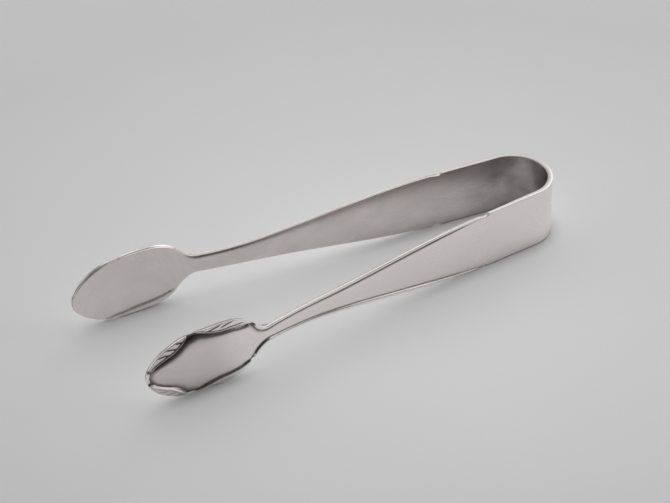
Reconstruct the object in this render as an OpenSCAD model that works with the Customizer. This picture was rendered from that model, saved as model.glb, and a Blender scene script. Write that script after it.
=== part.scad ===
// Sugar tongs: a springy bow carries two tapering arms, and each arm ends in a leaf-shaped bowl.
// The tongs lie on one edge of their strip. X runs towards the bow, Y across the jaws and Z up.
// Each side is its plan, seen from above, cut to its outline, seen from the side.

/* [Overall] */
// Length from the back of the bow to the tips of the bowls
overall_length = 113.5; // [105:0.5:130]
// Thickness of the strip
strip_thickness = 1.2; // [1:0.1:1.5]

/* [Bow] */
// Radius of the bow's outer face
bow_radius = 9; // [8:0.5:11]
// Width of the strip at the bow
bow_width = 14; // [12:0.5:16]
// Angle round the bow from its crown to each flex line
flex_angle = 45; // [35:1:55]
// How far the flex line's round nose lies in from each face of the strip
nose_inset = 0.1; // [0.05:0.05:0.2]
// Radial clearance of the nose in its groove
nose_clearance = 0.03; // [0.02:0.01:0.06]
// Gap between the two ends beside the nose
flex_gap = 0.15; // [0.12:0.01:0.2]

/* [Arms] */
// Angle of each arm from the centre line, at rest
arm_spread = 4.3; // [3:0.1:5]
// Run of the outward curve that leads to the neck
flare_run = 15.7; // [10:0.1:20]
// Radius of that outward curve
flare_radius = 105; // [85:5:160]
// Run of the plain strip from the end of the bow to the cusp
cusp_run = 14.5; // [10:0.5:20]
// Length of each side of the cusp's nick
nick_run = 1; // [0.6:0.1:1.5]
// Depth of the cusp's nick
nick_depth = 0.6; // [0.4:0.1:1]
// How far the taper's edge starts inside the plain strip's edge
taper_drop = 0.15; // [0.1:0.05:0.4]
// How early the taper narrows: lower is earlier
taper_lead = 0.93; // [0.7:0.01:1]
// Width of the strip at the neck
neck_width = 4.3; // [3.6:0.1:6]

/* [Thread borders] */
// Width of the bead along each edge of an arm
thread_width = 1.1; // [0.8:0.1:1.4]
// Rise of the bead above the arm's outer face
thread_rise = 0.45; // [0.3:0.05:0.7]

/* [Bowls] */
// Length of a bowl from the neck to the tip
bowl_length = 31.3; // [28:0.1:38]
// Greatest width of a bowl
bowl_width = 15.8; // [14:0.1:18]
// Radius of the bowl's outer face along its length
bowl_radius = 82; // [70:1:110]
// Depth of the outer face across the bowl's width
bowl_depth = 0.9; // [0.7:0.05:1.1]
// Depth of the inner face's hollow across the bowl's width
hollow_depth = 0.35; // [0.2:0.05:0.6]
// Run from the neck to the ear, where the bowl's shoulder starts
ear_run = 4.2; // [3:0.2:5]
// Width of the bowl at the ears
ear_width = 8.8; // [8:0.2:10]
// Power of the shoulder's curve: higher is squarer
shoulder_power = 5; // [4:0.5:8]
// Run from the neck to the cusp between the two lobes of a side
lobe_run = 20.3; // [18:0.1:22]
// Depth of the cusp between the lobes
lobe_nick = 0.3; // [0.2:0.1:0.8]
// Half the length of that cusp
lobe_nick_run = 1.6; // [1:0.2:2.4]
// Power of the front lobe's curve along the bowl: higher is fuller
front_fullness = 1.5; // [1.3:0.1:2]
// Power of the front lobe's curve across the bowl: lower is blunter
front_bluntness = 0.52; // [0.46:0.02:0.8]
// Radius of the rounded tip
tip_radius = 3; // [2:0.1:3.6]

/* [Scrolls] */
// Width of a scroll at its middle
scroll_width = 2; // [1.5:0.1:2.5]
// Rise of a scroll above the bowl's outer face
scroll_rise = 0.8; // [0.5:0.1:1.2]
// Share of the full width that is left at a scroll's ends
scroll_end_share = 0.3; // [0.2:0.05:0.6]
// Run left free at each end of a scroll
scroll_end_gap = 0.5; // [0.3:0.1:0.8]
// Angle that the tip's shell covers to each side
tip_shell_angle = 50; // [40:5:60]

/* [Hidden] */
$fn = 96;

silver = "#cbc8c4";
bright_silver = "#dedbd7";

// Room between a raised border and the face it is seated on
seat_gap = 0.03;
// Room that keeps a border inside the strip's edge
edge_room = 0.05;
// Flats round the back of a raised border
bead_flats = 6;
// Stations along a short curve of an outline
curve_steps = 14;
// Sides of a full circle where a curve is long and shallow
shallow_sides = 1440;
// How far a cutting shape runs past what it cuts
past = 2;

// Plan of the right-hand side, worked out on the strip's outer face
bow_centre = overall_length / 2 - bow_radius;
flex_radius = bow_radius - strip_thickness / 2;
nose_radius = strip_thickness / 2 - nose_inset;
arm_start = [bow_centre + bow_radius * sin(arm_spread), bow_radius * cos(arm_spread)];
neck_x = bowl_length - overall_length / 2;
arm_run = arm_start.x - neck_x;
straight_run = arm_run - flare_run;
flare_start = arm_start + straight_run * [-1, tan(arm_spread)];
flare_centre = flare_start + flare_radius * [sin(arm_spread), cos(arm_spread)];
neck_angle = asin(sin(arm_spread) + flare_run / flare_radius);
neck_y = flare_centre.y - flare_radius * cos(neck_angle);
bowl_peak = [neck_x - bowl_radius * sin(neck_angle), neck_y + bowl_radius * (1 - cos(neck_angle))];
tip_angle = asin(bowl_length / bowl_radius - sin(neck_angle));

// Radius of an arc from its depth over the bowl's width
function dish(depth) = (pow(bowl_width / 2, 2) + pow(depth, 2)) / (2 * depth);
dish_radius = dish(bowl_depth);

// Half-width of the taper at a run along the arm
function taper_half(run) =
    let (share = min(max((run - cusp_run) / (arm_run - cusp_run), 0), 1))
    neck_width / 2
        + (bow_width / 2 - taper_drop - neck_width / 2) * (1 + cos(180 * pow(share, taper_lead))) / 2;

// Height of the strip's middle line: level to the cusp, then rising to the middle of the bowl
function middle(run) =
    let (share = min(max((run - cusp_run) / (arm_run - cusp_run), 0), 1))
    bow_width / 2 + (bowl_width - bow_width) / 2 * sin(90 * share);

// Half-width of the bowl's leaf at a run from the neck: flare, rear lobe, front lobe and round tip
function flare_half(run) = neck_width / 2 + (ear_width - neck_width) / 2 * pow(run / ear_run, 2);
function rear_half(run) =
    let (left = 1 - (run - ear_run) / (lobe_run - ear_run))
    ear_width / 2 + (bowl_width - ear_width) / 2 * (1 - pow(left, shoulder_power));
function front_half(run) =
    let (share = (run - lobe_run) / (bowl_length - lobe_run))
    bowl_width / 2 * pow(max(1 - pow(share, front_fullness), 0), front_bluntness);
function tip_half(run) =
    let (back = run - (bowl_length - tip_radius))
    back > 0 ? sqrt(max(pow(tip_radius, 2) - pow(back, 2), 0)) : 0;
function nick_at(run) = lobe_nick * pow(max(1 - abs(run - lobe_run) / lobe_nick_run, 0), 2);
function leaf_half(run) =
    run < ear_run ? flare_half(run)
    : run < lobe_run ? rear_half(run) - nick_at(run)
    : max(front_half(run) - nick_at(run), tip_half(run));

// Half-width of the whole strip from the cusp to the tip
function strip_half(run) = run < arm_run ? taper_half(run) : leaf_half(run - arm_run);

// A place on the outer face, from the run along the strip, the height from its middle and the rise
function on_arm(run, side, rise) =
    let (
        turn = asin(sin(arm_spread) + max(run - straight_run, 0) / flare_radius),
        outward = [sin(turn), cos(turn)],
        foot = run < straight_run
            ? arm_start + run * [-1, tan(arm_spread)]
            : flare_centre - flare_radius * outward,
        place = foot + rise * outward
    )
    [place.x, place.y, middle(run) + side];
function on_bowl(run, side, rise) =
    let (
        tilt = asin(side / dish_radius),
        seat = bowl_radius - dish_radius * (1 - cos(tilt)),
        turn = asin((neck_x - run - bowl_peak.x) / seat),
        reach = seat + rise * cos(tilt)
    )
    [
        bowl_peak.x + reach * sin(turn),
        bowl_peak.y - bowl_radius + reach * cos(turn),
        bowl_width / 2 + (dish_radius + rise) * sin(tilt)
    ];
function on_strip(run, side, rise) =
    run < arm_run ? on_arm(run, side, rise) : on_bowl(run - arm_run, side, rise);

// A row of a raised border: its middle, the direction across it, its half-width and its rise
function edge_row(run, half, rise) =
    let (
        step = 0.02,
        slope = (strip_half(run + step) - strip_half(run - step)) / (2 * step),
        across = [slope, -1] / norm([slope, -1])
    )
    [[run, strip_half(run)] + (half + edge_room) * across, across, half, rise];

// Share of a scroll's full size at a share of its length: slim at both ends
function swell(share) = scroll_end_share + (1 - scroll_end_share) * sqrt(max(sin(180 * share), 0));

function thread_rows() =
    let (
        steps = 2 * curve_steps,
        start = cusp_run + nick_run,
        end = arm_run + ear_run - scroll_end_gap
    )
    [for (i = [0:steps])
        let (size = min(1, scroll_end_share + i / curve_steps))
        edge_row(start + (end - start) * i / steps, size * thread_width / 2, size * thread_rise)];

function scroll_rows(start, end) =
    [for (i = [0:curve_steps])
        let (share = i / curve_steps, size = swell(share))
        edge_row(arm_run + start + (end - start) * share, size * scroll_width / 2, size * scroll_rise)];

function tip_rows() =
    [for (i = [0:curve_steps])
        let (
            share = i / curve_steps,
            size = swell(share),
            half = size * scroll_width / 2,
            angle = tip_shell_angle * (1 - 2 * share),
            outward = [cos(angle), sin(angle)],
            centre = [arm_run + bowl_length - tip_radius, 0]
        )
        [centre + (tip_radius - half - edge_room) * outward, -outward, half, size * scroll_rise]];

// The same border below the middle line, with its rows in the other order
function below(rows) =
    [for (i = [len(rows) - 1:-1:0])
        let (row = rows[i])
        [[row[0].x, -row[0].y], [row[1].x, -row[1].y], row[2], row[3]]];

// A raised border, half-round above its flat seat, through its rows
function bead_ring(row) =
    [for (k = [0:bead_flats])
        let (angle = 180 * k / bead_flats, place = row[0] - row[2] * cos(angle) * row[1])
        on_strip(place.x, place.y, seat_gap + row[3] * sin(angle))];

module bead(rows) {
    ring = bead_flats + 1;
    last = len(rows) - 1;
    points = [for (row = rows) each bead_ring(row)];
    sides = [for (i = [0:last - 1], k = [0:ring - 1])
        let (a = i * ring + k, b = i * ring + (k + 1) % ring)
        each [[a, a + ring, b], [b, a + ring, b + ring]]];
    caps = [for (k = [1:ring - 2])
        each [[0, k, k + 1], [last * ring, last * ring + k + 1, last * ring + k]]];
    polyhedron(points, concat(sides, caps));
}

// Everything that stands over a side outline, whose edge is a list of run and half-width from the arm's start
module outline(edge) {
    upper = [for (p = edge) [arm_start.x - p.x, middle(p.x) + p.y]];
    lower = [for (i = [len(edge) - 1:-1:0]) [arm_start.x - edge[i].x, middle(edge[i].x) - edge[i].y]];
    deep = 2 * overall_length;
    translate([0, deep / 2, 0])
        rotate([90, 0, 0])
            linear_extrude(height = deep)
                polygon(concat(upper, lower));
}

module left() {
    mirror([0, 1, 0]) children();
}

// Part of the bow, from one angle to another round its centre
module bow_arc(from, to) {
    translate([bow_centre, 0, 0])
        rotate([0, 0, from])
            rotate_extrude(angle = to - from)
                translate([bow_radius - strip_thickness, 0])
                    square([strip_thickness, bow_width]);
}

module flex_axis() {
    translate([bow_centre + flex_radius * cos(flex_angle), flex_radius * sin(flex_angle), 0]) children();
}

module bow_crown() {
    reach = flex_angle - flex_gap / flex_radius * 180 / PI;
    color(silver)
        difference() {
            bow_arc(-reach, reach);
            for (side = [0, 1])
                mirror([0, side, 0])
                    flex_axis()
                        translate([0, 0, -past])
                            cylinder(r = nose_radius + nose_clearance, h = bow_width + 2 * past);
        }
}

module shoulder() {
    color(silver)
        union() {
            bow_arc(flex_angle, 90 - arm_spread);
            flex_axis() cylinder(r = nose_radius, h = bow_width);
        }
}

module arm() {
    steps = 2 * curve_steps;
    taper_start = cusp_run + nick_run;
    edge = concat(
        [
            [-past, bow_width / 2],
            [cusp_run - nick_run, bow_width / 2],
            [cusp_run, bow_width / 2 - nick_depth]
        ],
        [for (i = [0:steps])
            let (run = taper_start + (arm_run - taper_start) * i / steps)
            [run, taper_half(run)]],
        [[arm_run + past, neck_width / 2]]
    );
    runs = [0, for (i = [0:steps]) straight_run + flare_run * i / steps];
    outer_line = [for (run = runs) on_arm(run, 0, 0)];
    inner_line = [for (i = [len(runs) - 1:-1:0]) on_arm(runs[i], 0, -strip_thickness)];
    color(silver)
        intersection() {
            translate([0, 0, -past])
                linear_extrude(height = bow_width + bowl_width)
                    polygon([for (p = concat(outer_line, inner_line)) [p.x, p.y]]);
            outline(edge);
        }
}

// The dished blank of a bowl: its cross-section swept along the bowl's inward curve
module bowl_blank() {
    inner_radius = dish(hollow_depth);
    extra_angle = 2;
    tall = bowl_width + past;
    translate([bowl_peak.x, bowl_peak.y - bowl_radius, bowl_width / 2])
        rotate([0, 0, 90 - neck_angle - extra_angle])
            rotate_extrude(angle = neck_angle + tip_angle + 2 * extra_angle, $fn = shallow_sides)
                difference() {
                    intersection() {
                        translate([bowl_radius - dish_radius, 0]) circle(r = dish_radius);
                        translate([bowl_radius - bowl_width, -tall / 2]) square([2 * bowl_width, tall]);
                    }
                    translate([bowl_radius - strip_thickness - inner_radius, 0]) circle(r = inner_radius);
                }
}

module bowl() {
    edge = concat(
        [[-past, neck_width / 2]],
        [for (i = [0:curve_steps / 2]) let (run = ear_run * 2 * i / curve_steps) [run, leaf_half(run)]],
        [for (i = [1:curve_steps])
            let (run = ear_run + (lobe_run - ear_run) * pow(i / curve_steps, 2))
            [run, leaf_half(run)]],
        [for (i = [1:2 * curve_steps])
            let (run = lobe_run + (bowl_length - lobe_run) * sin(45 * i / curve_steps))
            [run, leaf_half(run)]]
    );
    behind = bowl_length;
    color(silver)
        difference() {
            intersection() {
                bowl_blank();
                outline([for (p = edge) [arm_run + p.x, p.y]]);
            }
            translate([neck_x, neck_y, -past])
                rotate([0, 0, -neck_angle])
                    translate([0, -behind / 2, 0])
                        cube([behind, behind, bowl_width + 2 * past]);
        }
}

// A raised border above the strip's middle line, or its mirror image below it
module border(rows, lower) {
    color(bright_silver) bead(lower ? below(rows) : rows);
}

module thread(lower) {
    border(thread_rows(), lower);
}

module rear_scroll(lower) {
    border(scroll_rows(ear_run + scroll_end_gap, lobe_run - scroll_end_gap), lower);
}

module front_scroll(lower) {
    gap_angle = scroll_end_gap / tip_radius * 180 / PI;
    end = bowl_length - tip_radius * (1 - cos(tip_shell_angle + gap_angle));
    border(scroll_rows(lobe_run + scroll_end_gap, end), lower);
}

module tip_shell() {
    border(tip_rows(), false);
}

bow_crown();
left() shoulder();  // left_shoulder
shoulder();  // right_shoulder
left() arm();  // left_arm
arm();  // right_arm
left() bowl();  // left_bowl
bowl();  // right_bowl
left() thread(false);  // left_upper_thread
left() thread(true);  // left_lower_thread
thread(false);  // right_upper_thread
thread(true);  // right_lower_thread
left() rear_scroll(false);  // left_upper_rear_scroll
left() rear_scroll(true);  // left_lower_rear_scroll
rear_scroll(false);  // right_upper_rear_scroll
rear_scroll(true);  // right_lower_rear_scroll
left() front_scroll(false);  // left_upper_front_scroll
left() front_scroll(true);  // left_lower_front_scroll
front_scroll(false);  // right_upper_front_scroll
front_scroll(true);  // right_lower_front_scroll
left() tip_shell();  // left_tip_shell
tip_shell();  // right_tip_shell
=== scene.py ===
# %% [markdown]
# Sugar tongs, dressed for the picture.
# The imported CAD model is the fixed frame: it says where each piece is and how it moves.
# This script lays finer silver surfaces over that frame. The tongs' lengths are in millimetres until a mesh
# is made, and those of the stage round them are in metres.

# %% Load the frame
import math

import bmesh
import bpy
import numpy as np
from mathutils import Matrix, Vector


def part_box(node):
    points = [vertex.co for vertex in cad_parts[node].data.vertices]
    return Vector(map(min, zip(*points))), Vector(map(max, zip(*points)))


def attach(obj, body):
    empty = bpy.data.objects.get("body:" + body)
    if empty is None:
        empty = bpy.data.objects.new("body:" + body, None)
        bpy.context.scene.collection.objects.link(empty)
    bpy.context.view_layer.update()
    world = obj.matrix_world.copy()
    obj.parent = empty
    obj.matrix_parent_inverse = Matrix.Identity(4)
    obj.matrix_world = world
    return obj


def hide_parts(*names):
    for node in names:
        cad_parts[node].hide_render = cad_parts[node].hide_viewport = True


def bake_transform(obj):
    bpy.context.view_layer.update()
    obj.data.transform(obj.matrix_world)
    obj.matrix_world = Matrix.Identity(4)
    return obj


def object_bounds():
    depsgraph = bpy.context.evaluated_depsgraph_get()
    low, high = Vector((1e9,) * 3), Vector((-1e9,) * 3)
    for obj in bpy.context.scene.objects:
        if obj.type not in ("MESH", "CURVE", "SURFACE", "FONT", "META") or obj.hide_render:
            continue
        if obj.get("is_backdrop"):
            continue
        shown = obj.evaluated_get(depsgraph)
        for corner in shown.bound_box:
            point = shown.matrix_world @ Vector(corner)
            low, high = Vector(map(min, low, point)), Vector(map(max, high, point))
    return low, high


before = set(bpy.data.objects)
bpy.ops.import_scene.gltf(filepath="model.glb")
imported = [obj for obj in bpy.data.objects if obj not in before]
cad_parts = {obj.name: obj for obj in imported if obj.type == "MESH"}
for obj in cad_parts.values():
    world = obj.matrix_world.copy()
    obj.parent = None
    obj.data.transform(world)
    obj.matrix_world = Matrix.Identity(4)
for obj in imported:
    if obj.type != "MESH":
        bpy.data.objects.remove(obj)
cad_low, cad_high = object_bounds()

MM = 0.001

# %% [markdown]
# Real sugar tongs of this kind are one strip of silver, struck flat with its border and then bent round a
# bar. So the whole script works along one strip: a run along it, a height from its middle line and a rise
# off its outer face. The large sizes are read off the frame's nodes, and the rest are the strip's own curves.

# %% Sizes of the strip
crown_low, crown_high = (np.array(corner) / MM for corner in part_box("bow_crown"))
bowl_low, bowl_high = (np.array(corner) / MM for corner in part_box("right_bowl"))

THICKNESS = 1.2
BOW_RADIUS = 9.0
BOW_HALF = (crown_high[2] - crown_low[2]) / 2
BOW_CENTRE_X = crown_high[0] - BOW_RADIUS

ARM_SPREAD = math.radians(4.3)
ARM_START = (BOW_CENTRE_X + BOW_RADIUS * math.sin(ARM_SPREAD), BOW_RADIUS * math.cos(ARM_SPREAD))
NECK_X = bowl_high[0]
NECK_HALF = 2.15
ARM_RUN = ARM_START[0] - NECK_X

FLARE_RUN = 15.7
FLARE_RADIUS = 105.0
STRAIGHT_RUN = ARM_RUN - FLARE_RUN
NECK_TURN = math.asin(math.sin(ARM_SPREAD) + FLARE_RUN / FLARE_RADIUS)
FLARE_START_Y = ARM_START[1] + STRAIGHT_RUN * math.tan(ARM_SPREAD)
NECK_Y = FLARE_START_Y + FLARE_RADIUS * (math.cos(ARM_SPREAD) - math.cos(NECK_TURN))

BOWL_LENGTH = bowl_high[0] - bowl_low[0]
BOWL_HALF = (bowl_high[2] - bowl_low[2]) / 2
BOWL_RADIUS = 82.0
BOWL_DEPTH = 0.9
DISH_RADIUS = (BOWL_HALF ** 2 + BOWL_DEPTH ** 2) / (2 * BOWL_DEPTH)
TIP_RUN = ARM_RUN + BOWL_LENGTH
print(f"arm run {ARM_RUN:.2f}, neck at y {NECK_Y:.2f}, whole run {TIP_RUN:.2f} mm")

# %% [markdown]
# Seen from the side, the strip has a soft outline. It is plain to a small cusp, tapers to a narrow neck and
# opens into a leaf with a rear lobe, a saddle and a front lobe. A drawn curve could hold this, but a formula
# is easier to change and gives the same edge to every piece that follows it.

# %% Outline of the strip
CUSP_RUN, CUSP_STEP, CUSP_NICK, CUSP_FADE = 14.5, 0.9, 0.3, 1.2
TAPER_DROP, TAPER_LEAD = 0.15, 0.93
EAR_RUN, EAR_HALF, SHOULDER_POWER = 4.2, 4.4, 5.0
EAR_NICK, EAR_NICK_RUN, EAR_NICK_SIZE = 0.22, 4.75, 0.4
LOBE_RUN, SADDLE_NICK, SADDLE_SIZE = 20.3, 0.28, 1.1
FRONT_FULLNESS, FRONT_BLUNTNESS = 1.5, 0.52
NICK_FADE = 2.0


def ease(share):
    """Goes from 0 to 1 with level ends: three times the square less twice the cube of the share."""
    share = np.clip(share, 0, 1)
    return share * share * (3 - 2 * share)


def hump(offset, size):
    """A bell of height 1: e to the power of minus the square of the offset over the size."""
    return np.exp(-(offset / size) ** 2)


def half_width(run):
    """Half-width at a run: the bow's less the cusp's step, a cosine taper, then the leaf and its nicks."""
    share = np.clip((run - CUSP_RUN) / (ARM_RUN - CUSP_RUN), 0, 1)
    swing = (1 + np.cos(np.pi * share ** TAPER_LEAD)) / 2
    taper = NECK_HALF + (BOW_HALF - TAPER_DROP - NECK_HALF) * swing
    step = np.clip((run - CUSP_RUN + CUSP_STEP) / CUSP_STEP, 0, 1)
    plain = BOW_HALF - (TAPER_DROP + CUSP_NICK) * (1 - (1 - step) ** 2)
    arm = np.where(run < CUSP_RUN, plain, taper - CUSP_NICK * hump(run - CUSP_RUN, CUSP_FADE))

    b = np.clip(run - ARM_RUN, 0, BOWL_LENGTH)
    flare = NECK_HALF + (EAR_HALF - NECK_HALF) * (b / EAR_RUN) ** 2
    left = np.clip((LOBE_RUN - b) / (LOBE_RUN - EAR_RUN), 0, 1)
    rear = EAR_HALF + (BOWL_HALF - EAR_HALF) * (1 - left ** SHOULDER_POWER)
    ahead = np.clip((b - LOBE_RUN) / (BOWL_LENGTH - LOBE_RUN), 0, 1)
    front = BOWL_HALF * (1 - ahead ** FRONT_FULLNESS) ** FRONT_BLUNTNESS
    leaf = np.where(b < EAR_RUN, flare, np.where(b < LOBE_RUN, rear, front))
    nicks = EAR_NICK * hump(b - EAR_NICK_RUN, EAR_NICK_SIZE) + SADDLE_NICK * hump(b - LOBE_RUN, SADDLE_SIZE)
    return np.where(run < ARM_RUN, arm, leaf - nicks * ease((BOWL_LENGTH - b) / NICK_FADE))


def middle_height(run):
    """Height of the strip's middle line: the bow's, rising by a quarter sine to the bowl's."""
    share = np.clip((run - CUSP_RUN) / (ARM_RUN - CUSP_RUN), 0, 1)
    return BOW_HALF + (BOWL_HALF - BOW_HALF) * np.sin(np.pi / 2 * share)


wide = [round(2 * float(half_width(run)), 2) for run in (0.0, CUSP_RUN, ARM_RUN, ARM_RUN + LOBE_RUN)]
print("width at the bow, cusp, neck and saddle:", wide, "mm")

# %% [markdown]
# The threads and scrolls follow the edge of the strip, so the edge is walked once and kept as an evenly
# spaced path: its place, its length so far and the direction inwards. The path goes round the tip and on
# along the lower edge. A Blender curve could be followed too, but these arrays can be asked for any place
# at once.

# %% Walk the edge
EDGE_STEP = 0.02
EDGE_SOFT = 0.4
TURN_SOFT = 1.6
LEAD_IN, WALK_COUNT = 3.0, 8001


def soften(values, size):
    """A moving average with a raised-cosine window of the given length along the edge."""
    count = 2 * int(size / EDGE_STEP / 2) + 1
    window = np.hanning(count + 2)[1:-1]
    return np.convolve(np.pad(values, count // 2, mode="edge"), window / window.sum(), mode="valid")


def walk_edge():
    """The edge as evenly spaced places from the bow to the tip and back along the lower side.

    Runs are bunched towards the tip by a square, measured along, and sampled again at equal lengths.
    """
    share = np.linspace(0, 1, WALK_COUNT)
    run = -LEAD_IN + (TIP_RUN + LEAD_IN) * (1 - (1 - share) ** 2)
    side = half_width(run)
    run, side = np.append(run, run[-2::-1]), np.append(side, -side[-2::-1])
    length = np.append(0, np.cumsum(np.hypot(np.diff(run), np.diff(side))))
    even = np.arange(0, length[-1], EDGE_STEP)
    run = soften(np.interp(even, length, run), EDGE_SOFT)
    side = soften(np.interp(even, length, side), EDGE_SOFT)
    slope_run, slope_side = np.gradient(run), np.gradient(side)
    inward_run, inward_side = soften(slope_side, TURN_SOFT), -soften(slope_run, TURN_SOFT)
    size = np.hypot(inward_run, inward_side)
    return even - LEAD_IN, run, side, inward_run / size, inward_side / size


EDGE_S, EDGE_RUN, EDGE_SIDE, EDGE_IN_RUN, EDGE_IN_SIDE = walk_edge()
TIP_INDEX = int(np.argmax(EDGE_RUN))
TIP_S = EDGE_S[TIP_INDEX]


def length_at(run):
    """Length along the upper edge at a run."""
    return np.interp(run, EDGE_RUN[:TIP_INDEX], EDGE_S[:TIP_INDEX])


def bowl_length_at(b):
    """Length along the upper edge at a run from the neck."""
    return length_at(ARM_RUN + np.asarray(b, float))


def fold_back(s):
    """The length on the upper side that matches a length past the tip."""
    return np.where(s > TIP_S, 2 * TIP_S - s, s)


def edge_at(s):
    """Place on the edge and the direction inwards, at a length along it."""
    return [np.interp(s, EDGE_S, values) for values in (EDGE_RUN, EDGE_SIDE, EDGE_IN_RUN, EDGE_IN_SIDE)]


print(f"edge of {TIP_S:.1f} mm from bow to tip, ends at run {EDGE_RUN[TIP_INDEX]:.2f}")

# %% [markdown]
# One function turns a run, a height and a rise into a place in space. The plan is straight, then an outward
# arc to the neck, then the inward arc of the bowl, and the bowl is dished across its width. Working on the
# strip like this keeps every piece seated, because they all ask the same function where the outer face is.

# %% Places on the strip
DISH_START, DISH_RAMP = -1.0, 7.0


def on_strip(run, side, rise):
    """A place on the right-hand side.

    The foot follows the plan's line, then arc, then arc, and drops by the dish's parabola. The rise goes
    along the outer face's normal, which leans by the plan's turn and by the dish's slope.
    """
    run, side, rise = np.broadcast_arrays(run, side, rise)
    b = run - ARM_RUN
    along_flare = math.sin(ARM_SPREAD) + np.clip(run - STRAIGHT_RUN, 0, FLARE_RUN) / FLARE_RADIUS
    along_bowl = math.sin(NECK_TURN) - b / BOWL_RADIUS
    turn = np.arcsin(np.where(b < 0, along_flare, along_bowl))
    straight = ARM_START[1] + np.minimum(run, STRAIGHT_RUN) * math.tan(ARM_SPREAD)
    flared = straight + FLARE_RADIUS * (math.cos(ARM_SPREAD) - np.cos(turn))
    bowled = NECK_Y + BOWL_RADIUS * (np.cos(turn) - math.cos(NECK_TURN))
    y = np.where(b < 0, flared, bowled)

    dish = ease((b - DISH_START) / DISH_RAMP)
    drop = dish * side ** 2 / (2 * DISH_RADIUS)
    lean = dish * side / DISH_RADIUS
    reach = rise / np.sqrt(1 + lean ** 2)
    out = reach - drop
    x = ARM_START[0] - run + out * np.sin(turn)
    return np.stack([x, y + out * np.cos(turn), middle_height(run) + side + reach * lean], axis=-1)


def on_bow(angle, side, rise):
    """A place on the right-hand half of the bow, at an angle from the crown round the bow's centre."""
    angle, side, rise = np.broadcast_arrays(angle, side, rise)
    reach = BOW_RADIUS + rise
    return np.stack([BOW_CENTRE_X + reach * np.cos(angle), reach * np.sin(angle), BOW_HALF + side], axis=-1)


print("right-hand tip at", on_strip(TIP_RUN, 0.0, 0.0).round(2).tolist(), "mm")

# %% [markdown]
# Each piece is a closed tube of quads: rows go along the strip and columns go round its section. Ends are
# either capped or drawn to a point. Two extra things go onto the mesh: a UV map along and round the piece,
# for the brushing, and a value that darkens the colour, for tarnish and for painted shade.

# %% From a grid to a piece
UV_PER_MM = 0.01
MERGE_GAP = 1e-4
PIECES = {}


def draw_ends_together(mesh):
    """Merges the places that a drawn-in row shares, so that its end closes in one point."""
    work = bmesh.new()
    work.from_mesh(mesh)
    bmesh.ops.remove_doubles(work, verts=work.verts, dist=MERGE_GAP * MM)
    work.to_mesh(mesh)
    work.free()


def closed_tube(name, points, along, hollow, capped, mirrored):
    """A mesh through a grid of places whose columns close into rings.

    The ring's girth and the length along give the UV map. The mesh is turned right side out by the sign of
    its volume, the sum of the corner determinants of its triangles.
    """
    rows, columns = points.shape[:2]
    if mirrored:
        points = points * (1, -1, 1)
    ring = np.concatenate([points, points[:, :1]], axis=1)
    girth = np.cumsum(np.linalg.norm(np.diff(ring, axis=1), axis=2), axis=1)
    girth = np.concatenate([np.zeros((rows, 1)), girth], axis=1)
    uv = np.stack([np.broadcast_to(np.reshape(along, (-1, 1)), girth.shape), girth], axis=-1) * UV_PER_MM

    i, j = np.meshgrid(np.arange(rows - 1), np.arange(columns), indexing="ij")
    row, next_row, after = i * columns, (i + 1) * columns, (j + 1) % columns
    quads = np.stack([row + j, next_row + j, next_row + after, row + after], axis=-1)
    corners = np.stack([uv[i, j], uv[i + 1, j], uv[i + 1, j + 1], uv[i, j + 1]], axis=-2)
    quads, corners = quads.reshape(-1, 4), corners.reshape(-1, 4, 2)

    places = points.reshape(-1, 3)
    a, b, c, d = (places[quads[:, k]] - places.mean(axis=0) for k in range(4))
    halves = np.einsum("ij,ij->i", a, np.cross(b, c)) + np.einsum("ij,ij->i", a, np.cross(c, d))
    volume = halves.sum() / 6
    first, last = np.arange(columns), (rows - 1) * columns + np.arange(columns)[::-1]
    if volume < 0:
        quads, corners, first, last = quads[:, ::-1], corners[:, ::-1], first[::-1], last[::-1]
    caps = [first.tolist(), last.tolist()] if capped else []

    mesh = bpy.data.meshes.new(name)
    mesh.from_pydata((places * MM).tolist(), [], quads.tolist() + caps)
    mesh.polygons.foreach_set("use_smooth", [True] * len(quads) + [False] * len(caps))
    strip_map = np.concatenate([corners.reshape(-1, 2), np.zeros((2 * columns if caps else 0, 2))])
    mesh.uv_layers.new(name="strip").data.foreach_set("uv", strip_map.astype(np.float32).ravel())
    shade = np.broadcast_to(hollow, (rows, columns)).astype(np.float32)
    mesh.attributes.new("hollow", "FLOAT", "POINT").data.foreach_set("value", shade.ravel())
    if not capped:
        draw_ends_together(mesh)
    piece = bpy.data.objects.new(f"{name}_silver", mesh)
    bpy.context.scene.collection.objects.link(piece)
    PIECES[name] = piece
    print(f"{name}: {len(mesh.polygons)} faces, volume {abs(volume):.1f} mm3")
    return piece


print(f"one unit of the UV map is {1 / UV_PER_MM:.0f} mm")

# %% [markdown]
# The strip's section is a flat bar whose corners have been rounded and polished. Its columns are set once:
# across the outer face, round the upper edge, back across the inner face and round the lower edge. A Bevel
# modifier could round the corners, but here the columns stay where the brushing needs them.

# %% Section of the strip
EDGE_COLUMNS = 12
EDGE_ROUND = 3.5


def section(outer_columns, inner_columns):
    """Columns round the strip: place across, share of the edge's inset and share of the thickness.

    The edges are superellipses: inset and thickness follow powers of the sine and cosine of a half turn.
    """
    turn = np.linspace(0, np.pi, EDGE_COLUMNS + 2)[1:-1]
    inset = 1 - np.sin(turn) ** (2 / EDGE_ROUND)
    depth = (1 - np.sign(np.cos(turn)) * np.abs(np.cos(turn)) ** (2 / EDGE_ROUND)) / 2
    outer, inner = np.linspace(-1, 1, outer_columns), np.linspace(1, -1, inner_columns)
    across = np.concatenate([outer, np.ones(EDGE_COLUMNS), inner, -np.ones(EDGE_COLUMNS)])
    insets = np.concatenate([np.ones(outer_columns), inset, np.ones(inner_columns), inset[::-1]])
    depths = np.concatenate([np.zeros(outer_columns), depth, np.ones(inner_columns), depth[::-1]])
    return across, insets, depths


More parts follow.
